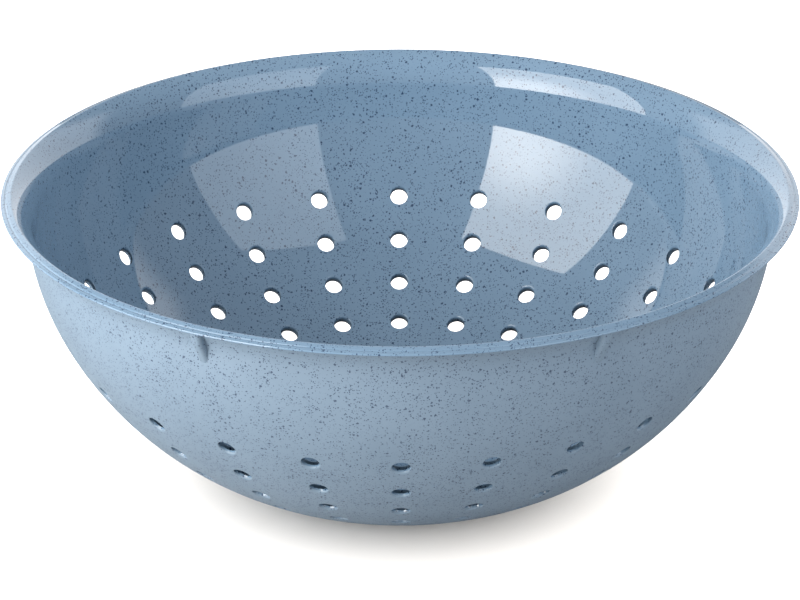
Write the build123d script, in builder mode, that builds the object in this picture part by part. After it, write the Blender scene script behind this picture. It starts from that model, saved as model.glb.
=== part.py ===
from build123d import *
import os
from math import acos, cos, degrees, radians, sin, sqrt

os.makedirs("parts", exist_ok=True)

# A kitchen colander: one moulded bowl with a perforated wall, a flared rim and
# six lugs under the lip. Its regions are separate solids that meet face to
# face. Lengths are in mm and angles in degrees. The bowl's axis is Z, the
# underside of the base is at z = 0 and the front is -Y.

# Overall sizes
rim_radius = 140.0
base_radius = 50.0
wall = 2.3

# Bowl profile: arcs of the inner surface, the lower one with the holes. A place
# on a wall arc is its angle from straight down, about the arc's centre.
lower_arc_radius = 119.3
upper_arc_radius = 94.3
arc_change_angle = 62.0
flare_radius = 16.5

# Lean of the inner surface from the vertical, where the flare starts, where it
# passes into the lip and where it ends at the lip's crest
flare_start_lean = 6.0
lip_start_lean = 50.0
crest_lean = 57.0

# Lip: a flange that falls away from its crest to a thin round edge, with a fine
# groove along its top
lip_width = 3.7
lip_rise = 1.35
lip_crest_radius = 0.6
lip_edge_radius = 0.45
lip_edge_drop = 0.3
lip_groove_inset = 1.6
lip_groove_radius = 0.25

# Drain holes, square to the wall, with an eased mouth on each face
hole_radius = 3.2
mouth_easing = 0.6
holes_per_ring = 24
ring_pitch = 17.0
top_ring_inset = 5.9

# Base: a flat floor on a standing ring, raised by a shallow recess inside it
recess_depth = 0.8
standing_ring_width = 8.0
base_edge_radius = 8.0
floor_ring_pitch = 17.5
floor_ring_holes = 6

# Lugs under the lip, which hold the colander clear of a bowl that it hangs in
lug_count = 6
lug_width = 4.0
lug_top_inset = 2.9
lug_foot_inset = 4.3
lug_face_depth = 6.4
lug_length = 15.0
lug_edge_radius = 1.5
lug_corner_radius = 3.0

# One overrun serves all cuts
overrun = 1.0

# Outer faces of the wall
lower_outer_radius = lower_arc_radius + wall
upper_outer_radius = upper_arc_radius + wall
flare_outer_radius = flare_radius - wall

# Places of the arcs' centres, worked out from the crest of the lip inwards.
# Drops and rises are taken from the rim plane, where the lip's edge lies.
crest_x = rim_radius - lip_width
flare_centre_x = crest_x + flare_radius * cos(radians(crest_lean))
flare_centre_drop = flare_radius * sin(radians(crest_lean)) - lip_rise
upper_reach = upper_arc_radius + flare_radius
upper_centre_x = flare_centre_x - upper_reach * cos(radians(flare_start_lean))
upper_centre_drop = flare_centre_drop - upper_reach * sin(radians(flare_start_lean))
arc_step = lower_arc_radius - upper_arc_radius
lower_centre_x = upper_centre_x - arc_step * sin(radians(arc_change_angle))
lower_centre_rise = arc_step * cos(radians(arc_change_angle)) - upper_centre_drop

# The floor lies where the outer face of the lower arc is at the base radius
lower_centre_z = sqrt(lower_outer_radius**2 - (base_radius - lower_centre_x) ** 2)
rim_height = lower_centre_z - lower_centre_rise
lower_centre = (lower_centre_x, lower_centre_z)
upper_centre = (upper_centre_x, rim_height - upper_centre_drop)
flare_centre = (flare_centre_x, rim_height - flare_centre_drop)

# The floor's inner face, and where it meets the inner face of the wall. Its
# corner is blended so that the moulding keeps its thickness round the bend.
floor_top = recess_depth + wall
floor_corner_x = lower_centre_x + sqrt(lower_arc_radius**2 - (lower_centre_z - floor_top) ** 2)
floor_corner_angle = degrees(acos((lower_centre_z - floor_top) / lower_arc_radius))
floor_blend_radius = base_edge_radius - wall
base_corner_angle = degrees(acos(lower_centre_z / lower_outer_radius))
base_edge_turn = degrees(base_edge_radius / lower_outer_radius)

# Rings of holes, one pitch apart along the middle of the wall, as many as fit
# between the change of arc and the base
middle_radius = lower_arc_radius + wall / 2
ring_step = degrees(ring_pitch / middle_radius)
top_ring_angle = arc_change_angle - degrees(top_ring_inset / middle_radius)
ring_room = top_ring_angle - base_corner_angle - base_edge_turn
ring_count = int(ring_room / ring_step + 1 / 2)
ring_angles = [top_ring_angle - ring * ring_step for ring in range(ring_count)]
floor_edge_angle = ring_angles[-1] - ring_step / 2

# Rings of holes in the floor, as many as fit inside the recess
recess_radius = base_radius - standing_ring_width
floor_ring_room = recess_radius - recess_depth - hole_radius - mouth_easing
floor_ring_count = int(floor_ring_room / floor_ring_pitch)


# Sections are turned from this plane, half a hole's step round from the X axis,
# so that the seam where each turn closes runs between the columns of holes
seam_turn = radians(180 / holes_per_ring)
section_plane = Plane(
    origin=(0, 0, 0),
    x_dir=(cos(seam_turn), sin(seam_turn), 0),
    z_dir=(sin(seam_turn), -cos(seam_turn), 0),
)


def wall_point(centre, radius, angle):
    """Give a point on a wall arc, by its angle from straight down."""
    turn = radians(angle)
    return (centre[0] + radius * sin(turn), centre[1] - radius * cos(turn))


def flare_point(radius, lean):
    """Give a point on an arc of the flare, by the lean of its surface there."""
    turn = radians(lean)
    return (flare_centre[0] - radius * cos(turn), flare_centre[1] + radius * sin(turn))


def band_section(centre, inner_radius, low_angle, high_angle):
    """Give the section of a stretch of wall between two angles on one arc."""
    outer_radius = inner_radius + wall
    turn = high_angle - low_angle
    with BuildSketch(section_plane) as section:
        with BuildLine():
            CenterArc(centre, inner_radius, low_angle - 90, turn)
            Line(wall_point(centre, inner_radius, high_angle), wall_point(centre, outer_radius, high_angle))
            CenterArc(centre, outer_radius, low_angle - 90, turn)
            Line(wall_point(centre, outer_radius, low_angle), wall_point(centre, inner_radius, low_angle))
        make_face()
    return section.sketch


# Cutter for one drain hole, centred in the wall, with a 45 degree mouth at each
# end that widens past both faces
cutter_reach = wall / 2 + overrun
cutter_mouth = hole_radius + mouth_easing + overrun
throat_reach = wall / 2 - mouth_easing
with BuildPart() as hole_cutter:
    with BuildSketch(Plane.XZ):
        with BuildLine():
            Polyline(
                (0, -cutter_reach),
                (cutter_mouth, -cutter_reach),
                (hole_radius, -throat_reach),
                (hole_radius, throat_reach),
                (cutter_mouth, cutter_reach),
                (0, cutter_reach),
                close=True,
            )
        make_face()
    revolve(axis=Axis.Z)

# Base floor: the flat bottom, its standing ring and the start of the wall
base_turn = floor_edge_angle - base_corner_angle
floor_turn = floor_edge_angle - floor_corner_angle
with BuildPart() as base_floor:
    with BuildSketch(section_plane) as base_section:
        with BuildLine():
            Polyline(
                (floor_corner_x, floor_top),
                (0, floor_top),
                (0, recess_depth),
                (recess_radius - recess_depth, recess_depth),
                (recess_radius, 0),
                (base_radius, 0),
            )
            CenterArc(lower_centre, lower_outer_radius, base_corner_angle - 90, base_turn)
            Line(
                wall_point(lower_centre, lower_outer_radius, floor_edge_angle),
                wall_point(lower_centre, lower_arc_radius, floor_edge_angle),
            )
            CenterArc(lower_centre, lower_arc_radius, floor_corner_angle - 90, floor_turn)
        make_face()
        base_corner = base_section.vertices().sort_by_distance((base_radius, 0))[0]
        fillet(base_corner, radius=base_edge_radius)
        floor_corner = base_section.vertices().sort_by_distance((floor_corner_x, floor_top))[0]
        fillet(floor_corner, radius=floor_blend_radius)
    revolve(axis=Axis.Z)
    for ring in range(1, floor_ring_count + 1):
        with PolarLocations(ring * floor_ring_pitch, ring * floor_ring_holes):
            with Locations((0, 0, recess_depth + wall / 2)):
                add(hole_cutter.part, mode=Mode.SUBTRACT)
base_floor.part.label = "base_floor"
export_step(base_floor.part, "parts/base_floor.step")

# Perforated wall: the whole lower arc, with its rings of holes
perforated_section = band_section(lower_centre, lower_arc_radius, floor_edge_angle, arc_change_angle)
ring_places = []
for angle in ring_angles:
    ring_x, ring_z = wall_point(lower_centre, middle_radius, angle)
    ring_places.append(Location((ring_x, 0, ring_z), (0, 180 - angle, 0)))
with BuildPart() as perforated_wall:
    revolve(perforated_section, axis=Axis.Z)
    with PolarLocations(0, holes_per_ring):
        with Locations(*ring_places):
            add(hole_cutter.part, mode=Mode.SUBTRACT)
perforated_wall.part.label = "perforated_wall"
export_step(perforated_wall.part, "parts/perforated_wall.step")

# Upper wall: the plain, steeper band above the holes
upper_end_angle = 90 - flare_start_lean
upper_section = band_section(upper_centre, upper_arc_radius, arc_change_angle, upper_end_angle)
with BuildPart() as upper_wall:
    revolve(upper_section, axis=Axis.Z)
upper_wall.part.label = "upper_wall"
export_step(upper_wall.part, "parts/upper_wall.step")

# Rim flare: the wall turns outwards on a small arc
flare_start = 180 - flare_start_lean
flare_turn = flare_start_lean - lip_start_lean
with BuildPart() as rim_flare:
    with BuildSketch(section_plane):
        with BuildLine():
            CenterArc(flare_centre, flare_radius, flare_start, flare_turn)
            Line(
                flare_point(flare_radius, lip_start_lean),
                flare_point(flare_outer_radius, lip_start_lean),
            )
            CenterArc(flare_centre, flare_outer_radius, flare_start, flare_turn)
            Line(
                flare_point(flare_outer_radius, flare_start_lean),
                flare_point(flare_radius, flare_start_lean),
            )
        make_face()
    revolve(axis=Axis.Z)
rim_flare.part.label = "rim_flare"
export_step(rim_flare.part, "parts/rim_flare.step")

# Rim lip: the flare runs on to the crest, and the flange falls from there to
# its round edge
crest_point = flare_point(flare_radius, crest_lean)
under_point = flare_point(flare_outer_radius, crest_lean)
edge_x = rim_radius - lip_edge_radius
edge_z = rim_height - lip_edge_drop
flange_top = (edge_x, edge_z + lip_edge_radius)
flange_under = (edge_x, edge_z - lip_edge_radius)
groove_share = (lip_width - lip_groove_inset) / (edge_x - crest_x)
groove_z = crest_point[1] + (flange_top[1] - crest_point[1]) * groove_share
lip_start = 180 - lip_start_lean
lip_turn = lip_start_lean - crest_lean
with BuildPart() as rim_lip:
    with BuildSketch(section_plane) as lip_section:
        with BuildLine():
            CenterArc(flare_centre, flare_radius, lip_start, lip_turn)
            Polyline(crest_point, flange_top, flange_under, under_point)
            CenterArc(flare_centre, flare_outer_radius, lip_start, lip_turn)
            Line(
                flare_point(flare_outer_radius, lip_start_lean),
                flare_point(flare_radius, lip_start_lean),
            )
        make_face()
        crest = lip_section.vertices().sort_by_distance(crest_point)[0]
        fillet(crest, radius=lip_crest_radius)
        with Locations((edge_x, edge_z)):
            Circle(lip_edge_radius)
        with Locations((rim_radius - lip_groove_inset, groove_z)):
            Circle(lip_groove_radius, mode=Mode.SUBTRACT)
    revolve(axis=Axis.Z)
rim_lip.part.label = "rim_lip"
export_step(rim_lip.part, "parts/rim_lip.step")

# Everything inside the outer face of the rim and the upper wall, which the lugs
# are cut back to
lug_foot_z = rim_height - lug_length
core_turn = upper_end_angle - arc_change_angle
core_low = wall_point(upper_centre, upper_outer_radius, arc_change_angle)
with BuildPart() as bowl_core:
    with BuildSketch(section_plane):
        with BuildLine():
            CenterArc(upper_centre, upper_outer_radius, arc_change_angle - 90, core_turn)
            CenterArc(flare_centre, flare_outer_radius, flare_start, flare_start_lean - crest_lean)
            Polyline(
                under_point,
                flange_under,
                (edge_x, rim_height + overrun),
                (0, rim_height + overrun),
                (0, core_low[1]),
                core_low,
            )
        make_face()
    revolve(axis=Axis.Z)

# One lug: an upright face under the lip, then a slope back to the wall
lug_foot_x = upper_centre_x + sqrt(upper_outer_radius**2 - (upper_centre[1] - lug_foot_z) ** 2)
with BuildPart() as lug_form:
    with BuildSketch(Plane.XZ):
        with BuildLine():
            Polyline(
                (rim_radius - lug_top_inset, rim_height),
                (rim_radius - lug_foot_inset, rim_height - lug_face_depth),
                (lug_foot_x, lug_foot_z),
                (lug_foot_x - wall, lug_foot_z),
                (lug_foot_x - wall, rim_height),
                close=True,
            )
        make_face()
    extrude(amount=lug_width / 2, both=True)
    lug_corner = lug_form.edges().filter_by(Axis.Y).sort_by(Axis.X)[-2]
    fillet(lug_corner, radius=lug_corner_radius)
    side_edges = lug_form.edges().filter_by(Axis.Y, reverse=True)
    lug_rails = side_edges.filter_by_position(Axis.X, lug_foot_x - overrun, rim_radius)
    fillet(lug_rails, radius=lug_edge_radius)
    add(bowl_core.part, mode=Mode.SUBTRACT)

# The lugs stand at equal steps, none of them at the front or the back
for lug in range(lug_count):
    with BuildPart() as rim_lug:
        add(lug_form.part, rotation=(0, 0, lug * 360 / lug_count))
    rim_lug.part.label = f"rim_lug_{lug + 1}"
    export_step(rim_lug.part, f"parts/rim_lug_{lug + 1}.step")
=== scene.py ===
import logging
from collections.abc import Callable, Sequence
from dataclasses import dataclass
from enum import Enum
from functools import partial
from math import acos, cos, degrees, pi, radians, sin, sqrt, tan

import bmesh
import bpy
import numpy as np
from bpy.types import ID, Collection, Material, Mesh, Node, NodeOutputs, NodeSocket, NodeTree, Object
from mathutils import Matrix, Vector


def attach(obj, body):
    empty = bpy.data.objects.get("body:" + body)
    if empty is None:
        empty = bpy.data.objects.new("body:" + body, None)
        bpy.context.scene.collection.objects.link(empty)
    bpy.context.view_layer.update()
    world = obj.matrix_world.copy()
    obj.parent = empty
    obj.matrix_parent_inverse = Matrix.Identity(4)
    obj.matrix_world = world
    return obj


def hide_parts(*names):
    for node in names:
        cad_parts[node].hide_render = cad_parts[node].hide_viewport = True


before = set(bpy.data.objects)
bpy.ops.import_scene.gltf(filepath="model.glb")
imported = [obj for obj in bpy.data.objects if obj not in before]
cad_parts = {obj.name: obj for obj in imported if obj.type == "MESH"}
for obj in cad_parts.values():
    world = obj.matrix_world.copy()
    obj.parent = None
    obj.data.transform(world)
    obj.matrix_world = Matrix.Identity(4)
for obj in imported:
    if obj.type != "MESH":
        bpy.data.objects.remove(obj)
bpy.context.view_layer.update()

LOG = logging.getLogger("colander")
MM = 0.001
BODY = "root"
WELD_DISTANCE = 2e-6
OUTER_SIDE = 0.6
UNDERSIDE_NORMAL = -0.3
CREASE_ANGLE = radians(40.0)

# The kinds of node that the trees use again and again
MATH = "ShaderNodeMath"
VECTOR_MATH = "ShaderNodeVectorMath"
MIX = "ShaderNodeMix"
RANGE = "ShaderNodeMapRange"
NOISE = "ShaderNodeTexNoise"
ROTATE = "ShaderNodeVectorRotate"
SEPARATE = "ShaderNodeSeparateXYZ"
COMBINE = "ShaderNodeCombineXYZ"
READ = "GeometryNodeInputNamedAttribute"
STORE = "GeometryNodeStoreNamedAttribute"
MOVE = "GeometryNodeSetPosition"

# The property that picks the form of such a node
OPTIONS = {
    MATH: "operation",
    VECTOR_MATH: "operation",
    MIX: "data_type",
    READ: "data_type",
    STORE: "data_type",
    ROTATE: "rotation_type",
    RANGE: "interpolation_type",
}


class Face(Enum):
    """The moulding's two sides, each by the name of the tree input that takes its finish."""

    INSIDE = "Inside Finish"
    OUTSIDE = "Outside Finish"


def linear_colour(hex_colour: str) -> tuple[float, float, float, float]:
    """Turn an sRGB hex colour into the linear colour that shaders use.

    Args:
        hex_colour: Six hex digits after a hash sign.

    Returns:
        Red, green, blue and an alpha of one.
    """
    shares = [int(hex_colour[place : place + 2], 16) / 255 for place in (1, 3, 5)]
    linear = [s / 12.92 if s <= 0.04045 else ((s + 0.055) / 1.055) ** 2.4 for s in shares]
    return (*linear, 1.0)


Finishes = dict[Face, Material]
Adder = Callable[..., Node]


def add_node(
    tree: NodeTree, kind: str, inputs: dict | Sequence = (), option: str | None = None, **settings
) -> Node:
    """Add a node to a tree, with its settings, its values and its links.

    Args:
        tree: The tree that gets the node.
        kind: The node's type name.
        inputs: Values by socket, or in the sockets' order. A node stands for its first output in use.
        option: Which form of the node it is, for the kinds in OPTIONS.
        settings: Other properties of the node.

    Returns:
        The new node.
    """
    made = tree.nodes.new(kind)
    if option:
        settings[OPTIONS[kind]] = option
    for name, value in settings.items():
        setattr(made, name, value)
    for key, value in inputs.items() if isinstance(inputs, dict) else enumerate(inputs):
        if isinstance(value, Node):
            value = next(socket for socket in value.outputs if socket.enabled)
        if isinstance(value, NodeSocket):
            tree.links.new(value, made.inputs[key])
        else:
            made.inputs[key].default_value = value
    return made


@dataclass(frozen=True)
class BowlSizes:
    """The bowl's driving sizes, in mm and degrees, and what follows from them.

    Heights are over the plane that the base stands on. A place on a wall arc is
    its angle from straight down, about the arc's centre. A drain hole falls by
    hole_lean for each mm that it runs outwards, and its mouth is eased by
    mouth_width and mouth_depth where that is most and by mouth_least opposite.
    In the floor each mouth has an even round.
    """

    rim_radius: float = 140.0
    base_radius: float = 50.0
    wall: float = 2.3
    lower_arc_radius: float = 119.3
    upper_arc_radius: float = 94.3
    arc_change_angle: float = 62.0
    flare_radius: float = 16.5
    flare_start_lean: float = 6.0
    lip_start_lean: float = 50.0
    crest_lean: float = 57.0
    lip_width: float = 3.7
    lip_rise: float = 1.35
    lip_edge_radius: float = 0.45
    lip_edge_drop: float = 0.3
    groove_inset: float = 1.6
    groove_depth: float = 0.25
    groove_width: float = 0.5
    recess_depth: float = 0.8
    standing_ring_width: float = 8.0
    hole_radius: float = 3.2
    mouth_round: float = 0.6
    mouth_width: float = 0.75
    mouth_depth: float = 0.6
    mouth_least: float = 0.1
    hole_lean: float = 0.3
    holes_per_ring: int = 24
    ring_count: int = 5
    ring_pitch: float = 17.0
    top_ring_inset: float = 5.9
    base_edge_radius: float = 8.0
    floor_ring_pitch: float = 17.5
    floor_ring_holes: int = 6
    floor_ring_count: int = 2

    def from_rim(self) -> tuple[np.ndarray, np.ndarray, np.ndarray]:
        """Work out the centres of the flare, upper and lower arcs.

        Returns:
            The three centres, as a radius and a height over the rim plane.
        """
        crest_turn = radians(self.crest_lean)
        start_turn = radians(self.flare_start_lean)
        change_turn = radians(self.arc_change_angle)
        crest = np.array((self.rim_radius - self.lip_width, self.lip_rise))
        flare = crest + self.flare_radius * np.array((cos(crest_turn), -sin(crest_turn)))
        upper_reach = self.upper_arc_radius + self.flare_radius
        upper = flare - upper_reach * np.array((cos(start_turn), -sin(start_turn)))
        arc_step = self.lower_arc_radius - self.upper_arc_radius
        lower = upper + arc_step * np.array((-sin(change_turn), cos(change_turn)))
        return flare, upper, lower

    @property
    def lower_outer_radius(self) -> float:
        """Radius of the lower arc's outer face."""
        return self.lower_arc_radius + self.wall

    @property
    def rim_height(self) -> float:
        """Height of the rim plane."""
        lower = self.from_rim()[2]
        return sqrt(self.lower_outer_radius**2 - (self.base_radius - lower[0]) ** 2) - lower[1]

    @property
    def centres(self) -> tuple[np.ndarray, np.ndarray, np.ndarray]:
        """Centres of the flare, upper and lower arcs, as a radius and a height."""
        lift = np.array((0.0, self.rim_height))
        return tuple(centre + lift for centre in self.from_rim())

    @property
    def ring_step(self) -> float:
        """Angle between two rings of holes, about the lower arc's centre."""
        return degrees(self.ring_pitch / (self.lower_arc_radius + self.wall / 2))

    @property
    def top_ring_angle(self) -> float:
        """Angle of the highest ring of holes."""
        return self.arc_change_angle - degrees(self.top_ring_inset / (self.lower_arc_radius + self.wall / 2))

    @property
    def floor_edge_angle(self) -> float:
        """Angle at which the perforated wall starts."""
        return self.top_ring_angle - (self.ring_count - 0.5) * self.ring_step

    @property
    def floor_top(self) -> float:
        """Height of the floor's inner face."""
        return self.recess_depth + self.wall


def arc_points(centre: np.ndarray, radius: float, start: float, end: float, step: float) -> np.ndarray:
    """Give points along an arc of the section.

    Args:
        centre: Centre, as a radius and a height in mm.
        radius: Radius in mm.
        start: First angle in degrees, from straight down towards the rim.
        end: Last angle.
        step: Largest angle between two points.

    Returns:
        One row of radius and height for each point.
    """
    count = max(2, int(abs(end - start) / step) + 2)
    turns = np.radians(np.linspace(start, end, count))
    return np.column_stack((centre[0] + radius * np.sin(turns), centre[1] - radius * np.cos(turns)))


def line_points(start: tuple[float, float], end: tuple[float, float], count: int) -> np.ndarray:
    """Give evenly spaced points on a straight run, both ends included."""
    return np.linspace(np.array(start, float), np.array(end, float), count)


def trimmed(path: np.ndarray, reach: float) -> np.ndarray:
    """Cut a length off the end of a path.

    Args:
        path: Points of the path.
        reach: The length, in mm.

    Returns:
        The points that are left, with a new last one.
    """
    lengths = np.linalg.norm(np.diff(path, axis=0), axis=1)
    left = lengths[::-1].cumsum()[::-1]
    kept = int((left > reach).sum())
    start, end = path[kept - 1], path[kept]
    share = (left[kept - 1] - reach) / lengths[kept - 1]
    return np.vstack((path[:kept], start + share * (end - start)))


def eased_corner(before: np.ndarray, after: np.ndarray, reach: float, steps: int = 7) -> np.ndarray:
    """Join two paths that meet at a corner, and round the corner.

    Args:
        before: The first path.
        after: The second, which starts where the first ends.
        reach: How far from the corner the rounding starts, in mm.
        steps: Number of pieces in the rounding.

    Returns:
        The two paths as one.
    """
    first = trimmed(before, reach)
    last = trimmed(after[::-1], reach)[::-1]
    corner = before[-1]
    t = np.linspace(0, 1, steps + 1)[1:-1, None]
    bend = (1 - t) ** 2 * first[-1] + 2 * t * (1 - t) * corner + t**2 * last[0]
    return np.vstack((first, bend, last))


def outward_normals(path: np.ndarray) -> np.ndarray:
    """Give the normal at each point of a path, on the left of the way that it runs.

    An arc through three points gives each inner point's direction. The ends take
    theirs from the arc of their neighbour, so two paths that share an arc agree
    where they meet.

    Args:
        path: Points of the path, each a radius and a height.

    Returns:
        One unit vector for each point.
    """
    edges = np.diff(path, axis=0)
    share = edges / (edges**2).sum(axis=1, keepdims=True)
    inner = share[:-1] + share[1:]
    inner /= np.linalg.norm(inner, axis=1, keepdims=True)
    chords = edges / np.linalg.norm(edges, axis=1, keepdims=True)
    first = 2 * (inner[0] @ chords[0]) * chords[0] - inner[0]
    last = 2 * (inner[-1] @ chords[-1]) * chords[-1] - inner[-1]
    tangents = np.vstack((first, inner, last))
    return np.column_stack((-tangents[:, 1], tangents[:, 0]))


@dataclass
class Section:
    """A stretch of the bowl's section: its inner face out to the rim, its outer face back.

    Attributes:
        inner: Points of the inner face, in mm.
        outer: Points of the outer face, in mm.
        closed: Whether a straight cut joins the two faces at the low end.
    """

    inner: np.ndarray
    outer: np.ndarray
    closed: bool = True

    def mesh(self, name: str) -> Mesh:
        """Make a mesh that holds the section's points, normals and sides.

        Args:
            name: Name of the mesh.

        Returns:
            A mesh of points alone, in metres, in the order that the section runs.
        """
        sides = [0.0] * len(self.inner) + [1.0] * len(self.outer)
        if np.allclose(self.inner[-1], self.outer[0]):
            path = np.vstack((self.inner, self.outer[1:]))
            normals = outward_normals(path)
            sides.pop()
        else:
            path = np.vstack((self.inner, self.outer))
            normals = np.vstack((outward_normals(self.inner), outward_normals(self.outer)))
        if self.closed:
            path = np.vstack((path, path[:1]))
            normals = np.vstack((normals, normals[:1]))
            sides.append(1.0)
        made = bpy.data.meshes.new(name)
        made.vertices.add(len(path))
        places, facing = (np.insert(rows, 1, 0.0, axis=1).ravel() for rows in (path * MM, normals))
        made.vertices.foreach_set("co", places)
        made.attributes.new("facing", "FLOAT_VECTOR", "POINT").data.foreach_set("vector", facing)
        made.attributes.new("side", "FLOAT", "POINT").data.foreach_set("value", np.array(sides))
        return made


@dataclass(frozen=True)
class BowlSection:
    """The whole bowl's section, from which each turned sub-assembly takes its stretch.

    A step is the largest angle between two points of an arc, in degrees, points
    are those of a straight run, and an ease is how far from a corner its
    rounding starts, in mm.
    """

    sizes: BowlSizes
    wall_step: float = 1.1
    flare_step: float = 2.5
    edge_step: float = 15.0
    flange_points: int = 40
    floor_points: int = 8
    ring_points: int = 6
    recess_points: int = 5
    crest_ease: float = 0.35
    edge_ease: float = 0.12
    under_ease: float = 0.5
    recess_ease: float = 0.25

    def upper_wall(self) -> Section:
        """Draw the plain band above the holes.

        Returns:
            Its section.
        """
        s = self.sizes
        low, high = s.arc_change_angle, 90 - s.flare_start_lean
        inner = arc_points(s.centres[1], s.upper_arc_radius, low, high, self.wall_step)
        outer = arc_points(s.centres[1], s.upper_arc_radius + s.wall, high, low, self.wall_step)
        return Section(inner, outer)

    def flare(self, radius: float, start_lean: float, end_lean: float) -> np.ndarray:
        """Points on a face of the flare, between two leans from the vertical."""
        return arc_points(self.sizes.centres[0], radius, -90 - start_lean, -90 - end_lean, self.flare_step)

    def rim_flare(self) -> Section:
        """Draw the wall that turns outwards under the lip.

        Returns:
            Its section.
        """
        s = self.sizes
        inner = self.flare(s.flare_radius, s.flare_start_lean, s.lip_start_lean)
        outer = self.flare(s.flare_radius - s.wall, s.lip_start_lean, s.flare_start_lean)
        return Section(inner, outer)

    def rim_lip(self) -> Section:
        """Draw the crest, the grooved flange and its thin round edge.

        Returns:
            Their section.
        """
        s = self.sizes
        edge = np.array((s.rim_radius - s.lip_edge_radius, s.rim_height - s.lip_edge_drop))
        up = np.array((0.0, s.lip_edge_radius))
        rise = self.flare(s.flare_radius, s.lip_start_lean, s.crest_lean)
        flange = line_points(rise[-1], edge + up, self.flange_points)
        from_groove = np.abs(flange[:, 0] - (s.rim_radius - s.groove_inset)) / s.groove_width
        flange[:, 1] -= s.groove_depth * np.where(from_groove < 1, (1 + np.cos(pi * from_groove)) / 2, 0)
        round_edge = arc_points(edge, s.lip_edge_radius, 180, 0, self.edge_step)
        drop = self.flare(s.flare_radius - s.wall, s.crest_lean, s.lip_start_lean)
        under = line_points(edge - up, drop[0], self.floor_points)
        top = eased_corner(rise, flange, self.crest_ease)
        inner = eased_corner(top, round_edge, self.edge_ease)
        return Section(inner, eased_corner(under, drop, self.under_ease))

    def wall_middle(self) -> Section:
        """Draw the middle of the perforated wall, without thickness.

        Returns:
            A section that is one line.
        """
        s = self.sizes
        radius = s.lower_arc_radius + s.wall / 2
        path = arc_points(s.centres[2], radius, s.floor_edge_angle, s.arc_change_angle, self.wall_step)
        return Section(path, path[-1:], closed=False)

    def base_floor(self) -> Section:
        """Draw the floor, its standing ring and the start of the wall.

        Returns:
            Their section.
        """
        s = self.sizes
        centre = s.centres[2]
        floor_angle = degrees(acos((centre[1] - s.floor_top) / s.lower_arc_radius))
        base_angle = degrees(acos(centre[1] / s.lower_outer_radius))
        rise = arc_points(centre, s.lower_arc_radius, floor_angle, s.floor_edge_angle, self.wall_step)
        floor = line_points((0, s.floor_top), rise[0], self.floor_points)
        inner = eased_corner(floor, rise, (s.base_edge_radius - s.wall) * tan(radians(floor_angle / 2)))
        recess_radius = s.base_radius - s.standing_ring_width
        fall = arc_points(centre, s.lower_outer_radius, s.floor_edge_angle, base_angle, self.wall_step)
        ring = line_points(fall[-1], (recess_radius, 0), self.ring_points)
        step_top = (recess_radius - s.recess_depth, s.recess_depth)
        step = line_points((recess_radius, 0), step_top, self.recess_points)
        recess = line_points(step_top, (0, s.recess_depth), self.floor_points)
        outer = eased_corner(fall, ring, s.base_edge_radius * tan(radians(base_angle / 2)))
        outer = eased_corner(outer, step, self.recess_ease)
        outer = eased_corner(outer, recess, self.recess_ease)
        return Section(inner, outer, closed=False)


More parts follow.
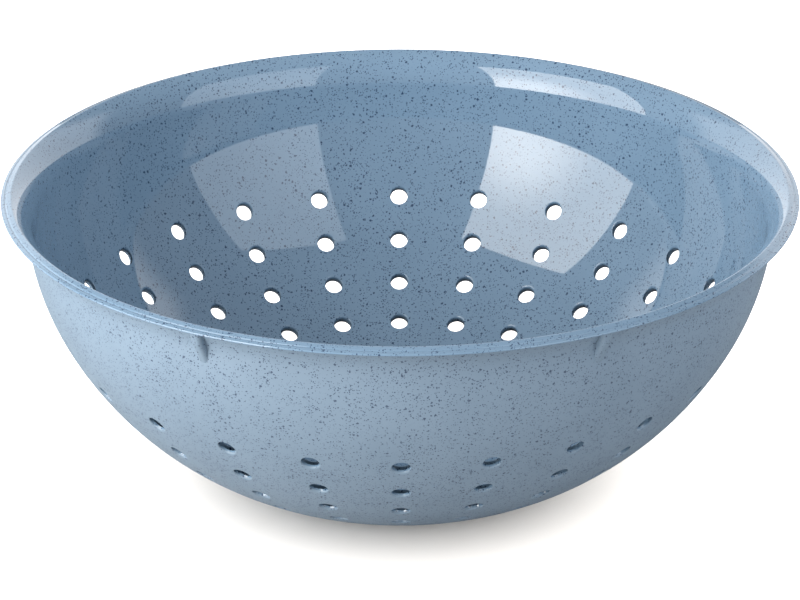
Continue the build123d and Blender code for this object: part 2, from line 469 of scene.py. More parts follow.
@dataclass(frozen=True)
class SpeckledPlastic:
    """Fibre-filled polypropylene: blue plastic with fine dark fibre specks in it.

    Attributes:
        name: Name of the material.
        colour: Colour of the plastic.
        shade: The same plastic where it is a little darker.
        roughness: Roughness of the surface.
        grain: Height of the mould's texture, in mm.
        grain_size: Width of one grain of that texture, in mm.
        speck_spacing: Mean distance between the places where a speck may lie, in mm.
        speck_share: Share of those places that hold one.
        speck_cover: How far a speck hides the plastic.
        crowding: How far the share falls and rises between thin and crowded patches.

    Radii, edges and crowd_width are in spacings, the ragged jags and the clouds
    of lighter and darker plastic in mm, and the coarse specks are set against the
    fine ones. A noise is the stretch of it that is used.
    """

    name: str
    colour: str
    shade: str
    roughness: float
    grain: float
    grain_size: float
    refraction: float = 1.58
    speck_colour: str = "#1f3350"
    speck_spacing: float = 0.68
    speck_share: float = 0.64
    speck_cover: float = 0.9
    speck_radii: tuple[float, float] = (0.2, 0.43)
    speck_edge: float = 0.1
    crowding: tuple[float, float] = (0.4, 1.6)
    crowd_noise: tuple[float, float] = (0.3, 0.7)
    crowd_width: float = 9.0
    coarse_spacing: float = 1.8
    coarse_share: float = 0.35
    ragged_width: float = 0.6
    ragged_depth: float = 0.9
    cloud_width: float = 28.0
    cloud_noise: tuple[float, float] = (0.35, 0.65)
    gloss_spread: float = 0.06

    def specks(self, add: Adder, place: Node, spacing: float, share: float) -> Node:
        """Add the mask of one layer of specks.

        Args:
            add: What adds the material's nodes.
            place: The node that gives each point's place.
            spacing: Mean distance between two places for a speck, in mm.
            share: Share of those places that hold one.

        Returns:
            The node whose output is one in a speck.
        """
        cells = add("ShaderNodeTexVoronoi", {"Vector": place, "Scale": 1 / (spacing * MM)})
        patches = add(NOISE, {"Vector": place, "Scale": 1 / (self.crowd_width * spacing * MM), "Detail": 2.0})
        chance = add("ShaderNodeSeparateColor", (cells.outputs["Color"],))
        crowd = add(RANGE, (patches, *self.crowd_noise, *self.crowding))
        limit = add(MATH, (crowd, share), "MULTIPLY")
        held = add(MATH, (chance.outputs[0], limit), "LESS_THAN")
        size = add(RANGE, (chance.outputs[1], 0.0, 1.0, *self.speck_radii))
        edge = add(MATH, (size, cells.outputs["Distance"]), "SUBTRACT")
        soft = add(RANGE, (edge, 0.0, self.speck_edge))
        return add(MATH, (soft, held), "MULTIPLY")

    def build(self) -> Material:
        """Make the material, on Object coordinates.

        Returns:
            The material.
        """
        made = bpy.data.materials.new(self.name)
        made.use_nodes = True
        tree = made.node_tree
        add = partial(add_node, tree)
        place = add("ShaderNodeTexCoord").outputs["Object"]
        ragged = add(NOISE, {"Vector": place, "Scale": 1 / (self.ragged_width * MM), "Detail": 2.0})
        centred = add(VECTOR_MATH, (ragged.outputs["Color"], (0.5, 0.5, 0.5)), "SUBTRACT")
        pushed = add(VECTOR_MATH, {0: centred, "Scale": self.ragged_depth * MM}, "SCALE")
        uneven = add(VECTOR_MATH, (place, pushed), "ADD")
        spacing, share = self.speck_spacing, self.speck_share
        fine = self.specks(add, uneven, spacing, share)
        coarse = self.specks(add, uneven, self.coarse_spacing * spacing, self.coarse_share * share)
        mask = add(MATH, (fine, coarse), "MAXIMUM")
        cloud = add(NOISE, {"Vector": place, "Scale": 1 / (self.cloud_width * MM), "Detail": 3.0})
        cloudy = add(RANGE, (cloud, *self.cloud_noise))
        colours = {6: linear_colour(self.colour), 7: linear_colour(self.shade)}
        plastic = add(MIX, {0: cloudy, **colours}, "RGBA")
        dark = add(MATH, (mask, self.speck_cover), "MULTIPLY")
        colour = add(MIX, {0: dark, 6: plastic, 7: linear_colour(self.speck_colour)}, "RGBA")
        least, most = (1 - self.gloss_spread) * self.roughness, (1 + self.gloss_spread) * self.roughness
        gloss = add(RANGE, (cloud, 0.0, 1.0, least, most))
        texture = add(NOISE, {"Vector": place, "Scale": 1 / (self.grain_size * MM), "Detail": 3.0})
        bump = add("ShaderNodeBump", {"Height": texture, "Distance": self.grain * MM, "Strength": 1.0})
        shader = tree.nodes["Principled BSDF"]
        shader.inputs["IOR"].default_value = self.refraction
        tree.links.new(colour.outputs[2], shader.inputs["Base Color"])
        tree.links.new(gloss.outputs[0], shader.inputs["Roughness"])
        tree.links.new(bump.outputs[0], shader.inputs["Normal"])
        return made


# The inside is moulded against a polished core: sharp reflections, with the
# faint waviness that cooling leaves
INSIDE_FINISH = SpeckledPlastic(
    name="moulded_polypropylene_polished",
    colour="#718ba2",
    shade="#6d879e",
    roughness=0.03,
    grain=0.0015,
    grain_size=9.0,
)

# The outside is moulded against a spark-eroded cavity: satin, with a fine grain
OUTSIDE_FINISH = SpeckledPlastic(
    name="moulded_polypropylene_satin",
    colour="#75899b",
    shade="#718597",
    roughness=0.5,
    grain=0.012,
    grain_size=0.45,
)


def new_tree(name: str, inputs: dict[str, str]) -> tuple[NodeTree, Adder, NodeOutputs]:
    """Start a Geometry Nodes tree, which also takes a finish for each face.

    Args:
        name: Name of the tree.
        inputs: Kinds of socket by the name of the input.

    Returns:
        The tree, what adds its nodes, and its inputs by name.
    """
    tree = bpy.data.node_groups.new(name, "GeometryNodeTree")
    for label, kind in {**inputs, **{face.value: "Material" for face in Face}}.items():
        tree.interface.new_socket(name=label, in_out="INPUT", socket_type=f"NodeSocket{kind}")
    tree.interface.new_socket(name="Geometry", in_out="OUTPUT", socket_type="NodeSocketGeometry")
    return tree, partial(add_node, tree), tree.nodes.new("NodeGroupInput").outputs


def in_scene(name: str, data: ID) -> Object:
    """Put a new object into the scene.

    Args:
        name: Name of the object.
        data: The mesh, light or camera that it holds.

    Returns:
        The object.
    """
    made = bpy.data.objects.new(name, data)
    bpy.context.scene.collection.objects.link(made)
    return made


def settle(piece: Object) -> None:
    """Make what a piece's modifiers give its plain mesh, and remove them.

    Args:
        piece: The piece, which is changed.
    """
    graph = bpy.context.evaluated_depsgraph_get()
    source = piece.evaluated_get(graph)
    result = bpy.data.meshes.new_from_object(source, preserve_all_data_layers=True, depsgraph=graph)
    piece.modifiers.clear()
    piece.data = result


def grown(name: str, seed: Mesh, tree: NodeTree, finishes: Finishes, values: dict) -> Object:
    """Run a Geometry Nodes tree on a mesh and keep the result as a plain mesh.

    Args:
        name: Name of the object.
        seed: The mesh that the tree starts from.
        tree: The tree.
        finishes: The material of each face.
        values: The tree's other inputs, by name.

    Returns:
        An object that holds the result and no modifier.
    """
    piece = in_scene(name, seed)
    modifier = piece.modifiers.new(tree.name, "NODES")
    modifier.node_group = tree
    for label, value in {**values, **{face.value: finish for face, finish in finishes.items()}}.items():
        modifier[tree.interface.items_tree[label].identifier] = value
    settle(piece)
    piece.data.name = name
    return piece


def true_normals(piece: Object) -> None:
    """Shade a piece by the exact normals that its tree worked out, then drop its helper attributes.

    Args:
        piece: The piece, which is changed.
    """
    mesh = piece.data
    facing = np.zeros(len(mesh.vertices) * 3, np.float32)
    mesh.attributes["facing"].data.foreach_get("vector", facing)
    facing = facing.reshape(-1, 3)
    facing /= np.maximum(np.linalg.norm(facing, axis=1, keepdims=True), 1e-9)
    mesh.normals_split_custom_set_from_vertices(facing.tolist())
    kept = ("position", "material_index", "custom_normal", "sharp_face", "sharp_edge")
    for label in [a.name for a in mesh.attributes if not a.name.startswith(".") and a.name not in kept]:
        mesh.attributes.remove(mesh.attributes[label])


def turned_tree() -> NodeTree:
    """Make the tree that turns a section round the bowl's axis.

    Returns:
        A tree whose inputs are the section, the number of steps round and the two finishes.
    """
    tree, add, given = new_tree("turned_section", {"Section": "Geometry", "Steps Round": "Int"})
    steps = given["Steps Round"]
    size = add("GeometryNodeAttributeDomainSize", {"Geometry": given["Section"]})
    points = size.outputs["Point Count"]
    last = add(MATH, (points, 1.0), "SUBTRACT")
    around = add(MATH, (steps, 1.0), "ADD")
    shape = add("GeometryNodeMeshGrid", (last, steps, points, around))
    flat = add(SEPARATE, (add("GeometryNodeInputPosition"),))
    middle = add(MATH, (last, 2.0), "DIVIDE")
    offset = add(MATH, (flat.outputs["X"], middle), "ADD")
    row = add(MATH, (offset,), "ROUND")
    share = add(MATH, (flat.outputs["Y"], steps), "DIVIDE")
    angle = add(MATH, (share, 2 * pi), "MULTIPLY")

    # Each point takes its normal, side and place from its row of the section
    for label, kind, source in (
        ("facing", "FLOAT_VECTOR", add(READ, {"Name": "facing"}, "FLOAT_VECTOR")),
        ("side", "FLOAT", add(READ, {"Name": "side"}, "FLOAT")),
        ("place", "FLOAT_VECTOR", add("GeometryNodeInputPosition")),
    ):
        sample = {"Geometry": given["Section"], "Value": source, "Index": row}
        value = add("GeometryNodeSampleIndex", sample, data_type=kind)
        if kind == "FLOAT_VECTOR":
            value = add(ROTATE, {"Vector": value, "Angle": angle}, "Z_AXIS")
        if label == "place":
            shape = add(MOVE, {"Geometry": shape, "Position": value})
        else:
            shape = add(STORE, {"Geometry": shape, "Name": label, "Value": value}, kind)
    finish_tree(add, given, shape)
    return tree


def finish_tree(add: Adder, given: NodeOutputs, shape: Node | NodeSocket, outer: Node | None = None) -> None:
    """End a tree: weld its mesh, smooth it and give each side its finish.

    Args:
        add: What adds the tree's nodes.
        given: The tree's inputs.
        shape: What gives the geometry so far.
        outer: The node that picks the outside's faces, where the mesh doesn't carry its sides.
    """
    whole = add("GeometryNodeRealizeInstances", (shape,))
    welded = add("GeometryNodeMergeByDistance", {"Geometry": whole, "Distance": WELD_DISTANCE})
    smooth = add("GeometryNodeSetShadeSmooth", {"Geometry": welded})
    if outer is None:
        side = add(READ, {"Name": "side"}, "FLOAT")
        outer = add(MATH, (side, OUTER_SIDE), "GREATER_THAN")
    dress = "GeometryNodeSetMaterial"
    inside = add(dress, {"Geometry": smooth, "Material": given[Face.INSIDE.value]})
    both = add(dress, {"Geometry": inside, "Selection": outer, "Material": given[Face.OUTSIDE.value]})
    add("NodeGroupOutput", {"Geometry": both})


def drained_tree() -> NodeTree:
    """Make the tree that repeats one drain hole's cell over the rings of the wall.

    The cell's points carry the way that they lie from the hole's axis (ray), how
    far out towards the cell's edge (spread), how far round the eased mouth
    (turn), and on which face (side). The tree puts each point on the wall from
    those and from the sizes that it is given.

    Returns:
        The tree.
    """
    angles = ("Ring Step", "Middle Angle", "Top Angle", "Lean")
    lengths = ("Arc Radius", "Wall", "Hole Radius", "Mouth Width", "Mouth Depth", "Mouth Least")
    kinds = {"Cell": "Geometry", "Holes per Ring": "Int", "Rings": "Int", "Arc Centre": "Vector"}
    tree, add, given = new_tree("drained_wall", {**kinds, **dict.fromkeys(angles + lengths, "Float")})
    columns, rings = given["Holes per Ring"], given["Rings"]
    wall, centre, lean = given["Wall"], given["Arc Centre"], given["Lean"]
    wide = add(MATH, (columns, 1.0), "SUBTRACT")
    high = add(MATH, (rings, 1.0), "SUBTRACT")
    places = add("GeometryNodeMeshGrid", (wide, high, columns, rings))
    numbers = {"Geometry": places, "Name": "cell", "Value": add("GeometryNodeInputPosition")}
    marked = add(STORE, numbers, "FLOAT_VECTOR")
    copies = add("GeometryNodeInstanceOnPoints", {"Points": marked, "Instance": given["Cell"]})
    shape = add("GeometryNodeRealizeInstances", (copies,))
    cell, ray = (add(READ, {"Name": label}, "FLOAT_VECTOR") for label in ("cell", "ray"))
    spread, turn, side = (add(READ, {"Name": label}, "FLOAT") for label in ("spread", "turn", "side"))
    cell_across, cell_up = add(SEPARATE, (cell,)).outputs[:2]
    ray_across, ray_up = add(SEPARATE, (ray,)).outputs[:2]
    turn_sin = add(MATH, (turn,), "SINE")
    turn_cos = add(MATH, (turn,), "COSINE")

    # Where the cell's hole stands: its ring's angle and its column's bearing
    ring_turn = add(MATH, (cell_up, given["Ring Step"], given["Middle Angle"]), "MULTIPLY_ADD")
    column_step = add(MATH, (2 * pi, columns), "DIVIDE")
    column = add(MATH, (cell_across, 0.5), "ADD")
    column_turn = add(MATH, (column, column_step), "MULTIPLY")

    # How wide and deep the mouth is eased on this ray. The mould's halves left
    # upwards inside and downwards outside, so that is where the easing is most.
    sign = add(MATH, (side, 2.0, -1.0), "MULTIPLY_ADD")
    off_way = add(MATH, (ray_up, sign), "MULTIPLY")
    eased = add(MATH, (off_way, -0.5, 0.5), "MULTIPLY_ADD")
    mouth_width = add(MIX, {0: eased, 2: given["Mouth Least"], 3: given["Mouth Width"]}, "FLOAT")
    mouth_depth = add(MIX, {0: eased, 2: given["Mouth Least"], 3: given["Mouth Depth"]}, "FLOAT")

    # How deep in the wall the point lies, and how far from the hole's axis
    sunk_share = add(MATH, (1.0, turn_cos), "SUBTRACT")
    sunk = add(MATH, (sunk_share, mouth_depth), "MULTIPLY")
    from_outside = add(MATH, (wall, sunk), "SUBTRACT")
    depth = add(MIX, {0: side, 2: sunk, 3: from_outside}, "FLOAT")
    face_radius = add(MATH, (given["Arc Radius"], depth), "ADD")
    wider_share = add(MATH, (1.0, turn_sin), "SUBTRACT")
    reach = add(MATH, (wider_share, mouth_width, given["Hole Radius"]), "MULTIPLY_ADD")

    # The point if it lay on the hole's edge. The hole leans down towards the
    # outside a little more than square, as it has to leave the mould.
    above_middle = add(MATH, (wall, -0.5, depth), "MULTIPLY_ADD")
    sunk_low = add(MATH, (above_middle, lean), "MULTIPLY")
    level_up = add(MATH, (reach, ray_up), "MULTIPLY")
    hole_up = add(MATH, (level_up, sunk_low), "SUBTRACT")
    hole_up_turn = add(MATH, (hole_up, face_radius), "DIVIDE")
    hole_turn = add(MATH, (ring_turn, hole_up_turn), "ADD")
    hole_turn_sin = add(MATH, (hole_turn,), "SINE")
    centre_out = add(SEPARATE, (centre,)).outputs["X"]
    bowl_radius = add(MATH, (hole_turn_sin, face_radius, centre_out), "MULTIPLY_ADD")
    hole_across = add(MATH, (reach, ray_across), "MULTIPLY")
    hole_across_turn = add(MATH, (hole_across, bowl_radius), "DIVIDE")

    # The point if it lay on the cell's edge
    ray_sizes = add(VECTOR_MATH, (ray,), "ABSOLUTE")
    longest = add(MATH, add(SEPARATE, (ray_sizes,)).outputs[:2], "MAXIMUM")
    half = add(MATH, (0.5, longest), "DIVIDE")
    to_edge = add(VECTOR_MATH, {0: ray, "Scale": half}, "SCALE")
    edge_across, edge_up = add(SEPARATE, (to_edge,)).outputs[:2]
    edge_high = add(MATH, (edge_up, given["Ring Step"], ring_turn), "MULTIPLY_ADD")
    edge_turn = add(MATH, (edge_high, given["Top Angle"]), "MINIMUM")
    edge_across_turn = add(MATH, (edge_across, column_step), "MULTIPLY")

    # Between the two, by its spread
    up_turn = add(MIX, {0: spread, 2: hole_turn, 3: edge_turn}, "FLOAT")
    across_turn = add(MIX, {0: spread, 2: hole_across_turn, 3: edge_across_turn}, "FLOAT")
    bearing = add(MATH, (column_turn, across_turn), "ADD")
    tilt = add(MATH, (pi / 2, up_turn), "SUBTRACT")
    out = add(COMBINE, (face_radius,))
    leaned = add(ROTATE, {"Vector": out, "Angle": tilt}, "Y_AXIS")
    standing = add(VECTOR_MATH, (leaned, centre), "ADD")
    place = add(ROTATE, {"Vector": standing, "Angle": bearing}, "Z_AXIS")

    # The true normal: the face's own, turned towards the hole's axis in the mouth
    flat_share = add(MATH, (turn_cos, mouth_width), "MULTIPLY")
    steep_share = add(MATH, (turn_sin, mouth_depth), "MULTIPLY")
    inwards = add(MATH, (steep_share, -1.0), "MULTIPLY")
    across = add(MATH, (inwards, ray_across), "MULTIPLY")
    upwards = add(MATH, (inwards, ray_up), "MULTIPLY")
    square_off = add(MATH, (sign, flat_share), "MULTIPLY")
    off_face = add(MATH, (upwards, lean, square_off), "MULTIPLY_ADD")
    unit = add(VECTOR_MATH, (add(COMBINE, (off_face, across, upwards)),), "NORMALIZE")
    unit_leaned = add(ROTATE, {"Vector": unit, "Angle": tilt}, "Y_AXIS")
    facing = add(ROTATE, {"Vector": unit_leaned, "Angle": bearing}, "Z_AXIS")

    shape = add(STORE, {"Geometry": shape, "Name": "facing", "Value": facing}, "FLOAT_VECTOR")
    finish_tree(add, given, add(MOVE, {"Geometry": shape, "Position": place}))
    return tree


def floor_holes_tree() -> NodeTree:
    """Make the tree that cuts rings of drain holes through the floor.

    Returns:
        A tree whose inputs are the floor, the cutter, the rings' pitch and their holes.
    """
    counts = {"Rings": "Int", "Ring Pitch": "Float", "Holes in First Ring": "Int"}
    tree, add, given = new_tree("drained_floor", {"Floor": "Geometry", "Cutter": "Object", **counts})
    first_holes = given["Holes in First Ring"]
    cutter = add("GeometryNodeObjectInfo", {"Object": given["Cutter"]})
    seeds = add("GeometryNodeMeshLine", {"Count": given["Rings"]})
    nth = add(MATH, (add("GeometryNodeInputIndex"), 1.0), "ADD")
    holes = add(MATH, (nth, first_holes), "MULTIPLY")
    numbered = add(STORE, {"Geometry": seeds, "Name": "nth", "Value": nth}, "FLOAT")
    copies = add("GeometryNodeDuplicateElements", {"Geometry": numbered, "Amount": holes}, domain="POINT")
    ring = add(READ, {"Name": "nth"}, "FLOAT")
    in_ring = add(MATH, (ring, first_holes), "MULTIPLY")
    share = add(MATH, (copies.outputs["Duplicate Index"], in_ring), "DIVIDE")
    angle = add(MATH, (share, 2 * pi), "MULTIPLY")
    radius = add(MATH, (ring, given["Ring Pitch"]), "MULTIPLY")
    out = add(COMBINE, (radius,))
    place = add(ROTATE, {"Vector": out, "Angle": angle}, "Z_AXIS")
    spots = add(MOVE, {"Geometry": copies.outputs["Geometry"], "Position": place})
    cutters = add("GeometryNodeInstanceOnPoints", {"Points": spots, "Instance": cutter.outputs["Geometry"]})
    solid = add("GeometryNodeRealizeInstances", (cutters,))
    both = {"Mesh 1": given["Floor"], "Mesh 2": solid}
    cut = add("GeometryNodeMeshBoolean", both, operation="DIFFERENCE", solver="EXACT")
    way = add(SEPARATE, (add("GeometryNodeInputNormal"),))
    under = add(MATH, (way.outputs["Z"], UNDERSIDE_NORMAL), "LESS_THAN")
    finish_tree(add, given, cut.outputs["Mesh"], under)
    return tree


def keep(piece: Object, *nodes: str) -> None:
    """Ride a finished piece on the body, in place of CAD nodes, and report it.

    Args:
        piece: The piece.
        nodes: The nodes that it stands for.
    """
    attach(piece, BODY)
    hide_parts(*nodes)
    LOG.info("%s stands for %s with %d faces", piece.name, ", ".join(nodes), len(piece.data.polygons))


@dataclass
class TurnedPart:
    """A region of the bowl that is turned from its section.

    Attributes:
        node: The CAD node that it stands for.
        section: Its stretch of the bowl's section.
        steps_round: Number of steps round the axis.
    """

    node: str
    section: Section
    steps_round: int = 288

    def build(self, tree: NodeTree, finishes: Finishes) -> None:
        """Turn the section into a mesh with exact normals.

        Args:
            tree: The tree that turns a section.
            finishes: The material of each face.
        """
        values = {"Steps Round": self.steps_round}
        piece = grown(f"{self.node}_finished", self.section.mesh(self.node), tree, finishes, values)
        true_normals(piece)
        keep(piece, self.node)


@dataclass
class DrainWall:
    """The lower wall with its rings of drain holes.

    Attributes:
        sizes: The bowl's sizes.
        rays: Points round each hole.
        mouth_steps: Steps round each eased mouth.
        spread_shares: How the rows of points lie between the cell's edge and the mouth.
    """

    sizes: BowlSizes
    rays: int = 32
    mouth_steps: int = 4
    spread_shares: tuple[float, ...] = (1.0, 0.62, 0.32, 0.13, 0.04)

    def cell(self) -> Mesh:
        """Make one hole's cell: both faces, both mouths and the throat between them.

        Returns:
            A mesh whose points carry what the tree needs to place them.
        """
        turns = np.linspace(0, pi / 2, self.mouth_steps + 1)
        rows = [(spread, 0.0, 0.0) for spread in self.spread_shares]
        rows += [(0.0, turn, 0.0) for turn in turns]
        rows += [(0.0, turn, 1.0) for turn in turns[::-1]]
        rows += [(spread, 0.0, 1.0) for spread in self.spread_shares[::-1]]
        angles = np.arange(self.rays) * 2 * pi / self.rays
        rays = [(cos(angle), sin(angle), 0.0) for angle in angles]
        points = [(across, up, row) for row in range(len(rows)) for across, up, _ in rays]
        faces = []
        for row in range(len(rows) - 1):
            for ray in range(self.rays):
                here, beside = row * self.rays + ray, row * self.rays + (ray + 1) % self.rays
                faces.append((here, here + self.rays, beside + self.rays, beside))
        made = bpy.data.meshes.new("drain_cell")
        made.from_pydata(points, [], faces)
        every_ray = np.tile(np.array(rays), (len(rows), 1)).ravel()
        made.attributes.new("ray", "FLOAT_VECTOR", "POINT").data.foreach_set("vector", every_ray)
        for label, values in zip(("spread", "turn", "side"), np.repeat(rows, self.rays, axis=0).T):
            made.attributes.new(label, "FLOAT", "POINT").data.foreach_set("value", values.copy())
        return made

    def build(self, finishes: Finishes) -> None:
        """Repeat the cell over the wall and close the wall's two ends.

        Args:
            finishes: The material of each face.
        """
        s = self.sizes
        centre = s.centres[2]
        values = {
            "Holes per Ring": s.holes_per_ring,
            "Rings": s.ring_count,
            "Ring Step": radians(s.ring_step),
            "Middle Angle": radians(s.top_ring_angle - (s.ring_count - 1) / 2 * s.ring_step),
            "Top Angle": radians(s.arc_change_angle),
            "Arc Centre": (centre[0] * MM, 0.0, centre[1] * MM),
            "Arc Radius": s.lower_arc_radius * MM,
            "Wall": s.wall * MM,
            "Hole Radius": s.hole_radius * MM,
            "Mouth Width": s.mouth_width * MM,
            "Mouth Depth": s.mouth_depth * MM,
            "Mouth Least": s.mouth_least * MM,
            "Lean": s.hole_lean,
        }
        piece = grown("perforated_wall_finished", self.cell(), drained_tree(), finishes, values)
        self.close_ends(piece.data)
        true_normals(piece)
        keep(piece, "perforated_wall")

    def close_ends(self, mesh: Mesh) -> None:
        """Join the inner and outer faces along the wall's top and bottom.

        Args:
            mesh: The wall's mesh, which is changed.
        """
        shell = bmesh.new()
        shell.from_mesh(mesh)
        bmesh.ops.remove_doubles(shell, verts=shell.verts, dist=WELD_DISTANCE)
        open_edges = [edge for edge in shell.edges if edge.is_boundary]
        middle = sum(edge.verts[0].co.z for edge in open_edges) / len(open_edges)
        for end in (True, False):
            rim = [edge for edge in open_edges if (edge.verts[0].co.z > middle) == end]
            bmesh.ops.bridge_loops(shell, edges=rim)
        bmesh.ops.recalc_face_normals(shell, faces=shell.faces)
        for face in shell.faces:
            face.smooth = True
        shell.to_mesh(mesh)
        shell.free()


@dataclass
class BaseFloor:
    """The floor with its drain holes, its standing ring and the start of the wall.

    Attributes:
        sizes: The bowl's sizes.
        hole_steps: Number of steps round each drain hole.
        steps_round: Number of steps round the axis.
        mouth_step: Largest angle between two points of a hole's eased mouth.
        overshoot: How far the cutter passes the floor's faces, in mm.
    """

    sizes: BowlSizes
    hole_steps: int = 32
    steps_round: int = 192
    mouth_step: float = 20.0
    overshoot: float = 0.5

    def cutter(self, tree: NodeTree, finishes: Finishes) -> Object:
        """Make the cutter of one floor hole, flared at both ends for the eased mouths.

        Args:
            tree: The tree that turns a section.
            finishes: The material of each face.

        Returns:
            The cutter.
        """
        s = self.sizes
        name = "floor_hole_cutter"
        mouth = s.hole_radius + s.mouth_round
        low_centre = np.array((mouth, s.recess_depth + s.mouth_round))
        high_centre = np.array((mouth, s.floor_top - s.mouth_round))
        low = arc_points(low_centre, s.mouth_round, 0, -90, self.mouth_step)
        high = arc_points(high_centre, s.mouth_round, -90, -180, self.mouth_step)
        bottom, top = s.recess_depth - self.overshoot, s.floor_top + self.overshoot
        inner = np.vstack(((0, top), (mouth, top), high[::-1]))
        outer = np.vstack((low[::-1], (mouth, bottom), (0, bottom)))
        section = Section(inner, outer, closed=False)
        return grown(name, section.mesh(name), tree, finishes, {"Steps Round": self.hole_steps})

    def build(self, tree: NodeTree, finishes: Finishes) -> None:
        """Turn the base, cut its holes and weight its normals by the size of the faces.

        Args:
            tree: The tree that turns a section.
            finishes: The material of each face.
        """
        s = self.sizes
        section = BowlSection(s).base_floor().mesh("base_floor")
        blank = grown("base_blank", section, tree, finishes, {"Steps Round": self.steps_round})
        cutter = self.cutter(tree, finishes)
        values = {
            "Cutter": cutter,
            "Rings": s.floor_ring_count,
            "Ring Pitch": s.floor_ring_pitch * MM,
            "Holes in First Ring": s.floor_ring_holes,
        }
        piece = grown("base_floor_finished", blank.data, floor_holes_tree(), finishes, values)
        for spare in (blank, cutter):
            bpy.data.objects.remove(spare)
        weigh_normals(piece)
        keep(piece, "base_floor")


def mark_corners(mesh: Mesh) -> None:
    """Weld a mesh and smooth it, apart from the edges where its faces turn sharply.

    Args:
        mesh: The mesh, which is changed.
    """
    solid = bmesh.new()
    solid.from_mesh(mesh)
    bmesh.ops.remove_doubles(solid, verts=solid.verts, dist=WELD_DISTANCE)
    for face in solid.faces:
        face.smooth = True
    for edge in solid.edges:
        edge.smooth = len(edge.link_faces) == 2 and edge.calc_face_angle() < CREASE_ANGLE
    solid.to_mesh(mesh)
    solid.free()


def weigh_normals(piece: Object) -> None:
    """Smooth a piece up to its corners, so that its large faces keep their own direction.

    Args:
        piece: The piece, which is changed.
    """
    mark_corners(piece.data)
    piece.modifiers.new("weighted", "WEIGHTED_NORMAL").keep_sharp = True
    settle(piece)


@dataclass
class RimLugs:
    """The six lugs under the lip, each with its CAD solid's shape and smooth shading."""

    count: int = 6

    def build(self, finishes: Finishes) -> None:
        """Copy each lug's solid, weld it and dress it.

        Args:
            finishes: The material of each face.
        """
        for lug in range(1, self.count + 1):
            node = f"rim_lug_{lug}"
            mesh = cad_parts[node].data.copy()
            mesh.name = f"{node}_finished"
            mark_corners(mesh)
            mesh.materials.clear()
            mesh.materials.append(finishes[Face.OUTSIDE])
            mesh.polygons.foreach_set("material_index", [0] * len(mesh.polygons))
            keep(in_scene(f"{node}_finished", mesh), node)


@dataclass(frozen=True)
class Softbox:
    """A rectangular studio light that stands on the floor and faces the bowl's axis.

    Attributes:
        name: Name of the light.
        bearing: Way that it lies from the bowl, in degrees from the camera's side towards the right.
        distance: Distance of its plane from the bowl's axis, in metres.
        left: Its left edge along that plane, seen from the bowl's axis, in metres.
        right: Its right edge.
        height: Its height.
        radiance: Brightness of its face, where white is one.
        hot_spot: Place of its lamp, as shares of its width and height.
        hot_radiance: Brightness that the lamp adds there.
        hot_reach: How far the lamp's bright patch reaches, as a share of the face.
        tint: Colour of its light.
    """

    name: str
    bearing: float
    distance: float
    left: float
    right: float
    height: float
    radiance: float
    hot_spot: tuple[float, float]
    hot_radiance: float
    hot_reach: float
    tint: str

    def build(self) -> Object:
        """Put the light in place.

        Returns:
            The light's object.
        """
        turn = radians(self.bearing)
        out = Vector((sin(turn), -cos(turn), 0.0))
        across = Vector((cos(turn), sin(turn), 0.0))
        light = bpy.data.lights.new(self.name, "AREA")
        light.shape = "RECTANGLE"
        light.size, light.size_y = self.right - self.left, self.height
        light.energy = pi * light.size * light.size_y
        light.color = linear_colour(self.tint)[:3]
        light.use_nodes = True
        tree = light.node_tree
        face = add_node(tree, "ShaderNodeNewGeometry").outputs["Parametric"]
        spot = add_node(tree, VECTOR_MATH, (face, (*self.hot_spot, 0.0)), "DISTANCE")
        strengths = (self.radiance + self.hot_radiance, self.radiance)
        fall_inputs = (spot.outputs["Value"], 0.0, self.hot_reach, *strengths)
        fall = add_node(tree, RANGE, fall_inputs, "SMOOTHERSTEP")
        tree.links.new(fall.outputs[0], tree.nodes["Emission"].inputs["Strength"])
        placed = in_scene(self.name, light)
        placed.location = out * self.distance + across * (self.left + self.right) / 2
        placed.location.z = self.height / 2
        placed.rotation_euler = (-out).to_track_quat("-Z", "Y").to_euler()
        return placed


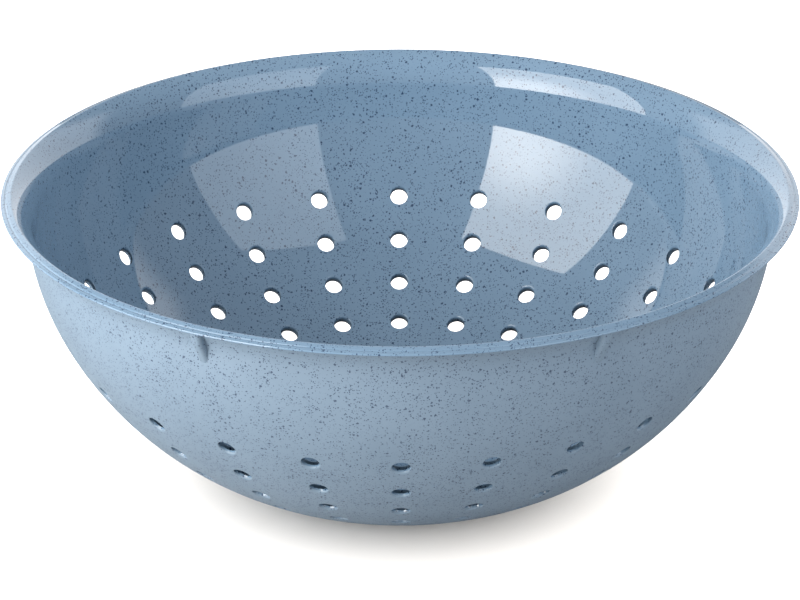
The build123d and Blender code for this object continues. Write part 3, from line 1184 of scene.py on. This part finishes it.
@dataclass
class Studio:
    """The pale floor, the soft lights, the white wall behind and the camera.

    Lengths are in metres and angles in degrees. The focal length counts pixels of
    a picture of picture_width, pattern_turn is how far the drain holes are turned
    against it, and table_drop is how far the card under the floor lies below it.
    The wall's edge and top give where it starts and ends to show in the room.
    """

    focal_pixels: float = 4709.6
    picture_width: float = 800.0
    sensor_width: float = 36.0
    seen_depth: tuple[float, float] = (0.05, 50.0)
    camera_distance: float = 1.5300
    camera_height: float = 0.7361
    camera_pitch: float = 23.751
    pattern_turn: float = 0.2
    floor_size: float = 8.0
    table_drop: float = 0.0003
    steps_round: int = 288
    card_roughness: float = 0.9
    left_strength: float = 0.53
    right_strength: float = 0.45
    side_reach: float = 0.6
    wall_strength: float = 1.48
    wall_edge: tuple[float, float] = (0.2, 0.4)
    wall_top: tuple[float, float] = (0.48, 0.62)
    room_tint: str = "#fcfdff"
    overhead_strength: float = 8.8

    def matt(self, name: str, colour: str) -> Material:
        """Make a dull paint.

        Args:
            name: Name of the paint.
            colour: Its colour.

        Returns:
            The paint.
        """
        paint = bpy.data.materials.new(name)
        paint.use_nodes = True
        shader = paint.node_tree.nodes["Principled BSDF"]
        shader.inputs["Base Color"].default_value = linear_colour(colour)
        shader.inputs["Roughness"].default_value = self.card_roughness
        shader.inputs["Specular IOR Level"].default_value = 0.0
        return paint

    def card(self, name: str, height: float, colour: str) -> Object:
        """Lay a level card.

        Args:
            name: Name of the card.
            height: Its height, in metres.
            colour: Its colour.

        Returns:
            The card.
        """
        half = self.floor_size / 2
        mesh = bpy.data.meshes.new(name)
        corners = [(-half, -half, height), (half, -half, height), (half, half, height), (-half, half, height)]
        mesh.from_pydata(corners, [], [(0, 1, 2, 3)])
        mesh.materials.append(self.matt(name, colour))
        placed = in_scene(name, mesh)
        return placed

    def floor(self) -> Object:
        """Lay the white floor that shows, and under it the duller one that lights the bowl from below.

        Returns:
            The floor that shows.
        """
        shown = self.card("floor", 0.0, "#fffaf4")
        shown.visible_diffuse = False
        shown.visible_glossy = False
        shown.visible_shadow = False
        self.card("table", -self.table_drop, "#c0c0c0").visible_camera = False
        return shown

    def light_stop(self, section: BowlSection, tree: NodeTree) -> None:
        """Hang a black sheet inside the wall, out of sight, so that no light strays through the holes.

        Args:
            section: The bowl's section.
            tree: The tree that turns a section.
        """
        name = "light_stop"
        blacks = dict.fromkeys(Face, self.matt(name, "#000000"))
        sheet = grown(name, section.wall_middle().mesh(name), tree, blacks, {"Steps Round": self.steps_round})
        sheet.visible_camera = False

    def reach_of(self, name: str, card: Object, state: str) -> Collection:
        """Name the things that a light falls on.

        Args:
            name: Name of the group.
            card: The card that is alone in it or alone left out.
            state: Which of the two it is.

        Returns:
            The group.
        """
        made = bpy.data.collections.new(name)
        made.objects.link(card)
        made.collection_objects[0].light_linking.link_state = state
        return made

    def lights(self, shown: Object) -> None:
        """Place the two softboxes, and the wide light that gives the soft shadow.

        Args:
            shown: The floor that shows, which takes the wide light alone.
        """
        overhead = bpy.data.lights.new("overhead", "SUN")
        overhead.angle = pi
        overhead.energy = self.overhead_strength
        placed = in_scene("overhead", overhead)
        placed.light_linking.receiver_collection = self.reach_of("floor_alone", shown, "INCLUDE")
        elsewhere = self.reach_of("all_but_floor", shown, "EXCLUDE")
        for box in (
            Softbox(
                name="softbox_left", bearing=-43.3, distance=0.771, left=-0.741, right=0.148, height=1.15,
                radiance=4.57, hot_spot=(0.85, 0.2), hot_radiance=5.27, hot_reach=0.6, tint="#fffcf8",
            ),
            Softbox(
                name="softbox_right", bearing=23.9, distance=0.715, left=0.057, right=0.904, height=1.115,
                radiance=1.65, hot_spot=(0.1, 0.2), hot_radiance=0.61, hot_reach=0.8, tint="#f3f9ff",
            ),
        ):
            box.build().light_linking.receiver_collection = elsewhere

    def room(self) -> None:
        """Light the room: dim all round, with a white wall behind the bowl."""
        made = bpy.data.worlds.new("room")
        made.use_nodes = True
        tree = made.node_tree
        add = partial(add_node, tree)
        across, back, up = add(SEPARATE, (add("ShaderNodeTexCoord").outputs["Generated"],)).outputs
        strengths = (self.left_strength, self.right_strength)
        behind = add(RANGE, (back, *self.wall_edge), "SMOOTHSTEP")
        low = add(RANGE, (up, *self.wall_top, 1.0, 0.0), "SMOOTHSTEP")
        wall = add(MATH, (behind, low), "MULTIPLY")
        sides = add(RANGE, (across, -self.side_reach, self.side_reach, *strengths), "SMOOTHSTEP")
        strength = add(MATH, (wall, self.wall_strength, sides), "MULTIPLY_ADD")
        sky = tree.nodes["Background"]
        sky.inputs["Color"].default_value = linear_colour(self.room_tint)
        tree.links.new(strength.outputs[0], sky.inputs["Strength"])
        bpy.context.scene.world = made

    def camera(self) -> None:
        """Stand the camera where the photograph was taken from."""
        view = bpy.data.cameras.new("camera")
        view.sensor_width = self.sensor_width
        view.lens = self.focal_pixels / self.picture_width * view.sensor_width
        view.clip_start, view.clip_end = self.seen_depth
        placed = in_scene("camera", view)
        turn = radians(-self.pattern_turn)
        away = self.camera_distance
        placed.location = (away * sin(turn), -away * cos(turn), self.camera_height)
        placed.rotation_euler = (radians(90 - self.camera_pitch), 0.0, turn)
        bpy.context.scene.camera = placed

    def build(self, section: BowlSection, tree: NodeTree) -> None:
        """Set up everything round the bowl.

        Args:
            section: The bowl's section.
            tree: The tree that turns a section.
        """
        self.lights(self.floor())
        self.light_stop(section, tree)
        self.room()
        self.camera()
        bpy.context.scene.view_settings.view_transform = "Standard"


@dataclass
class Colander:
    """The whole moulding, region by region."""

    sizes: BowlSizes

    def build(self, tree: NodeTree) -> None:
        """Build and dress every region.

        Args:
            tree: The tree that turns a section.
        """
        finishes = {Face.INSIDE: INSIDE_FINISH.build(), Face.OUTSIDE: OUTSIDE_FINISH.build()}
        section = BowlSection(self.sizes)
        BaseFloor(self.sizes).build(tree, finishes)
        DrainWall(self.sizes).build(finishes)
        TurnedPart("upper_wall", section.upper_wall()).build(tree, finishes)
        TurnedPart("rim_flare", section.rim_flare()).build(tree, finishes)
        TurnedPart("rim_lip", section.rim_lip()).build(tree, finishes)
        RimLugs().build(finishes)


def main() -> None:
    """Build the colander and its studio."""
    logging.basicConfig(level=logging.INFO, format="%(message)s")
    sizes = BowlSizes()
    tree = turned_tree()
    Colander(sizes).build(tree)
    Studio().build(BowlSection(sizes), tree)
    bpy.context.view_layer.update()


if __name__ == "__main__":
    main()
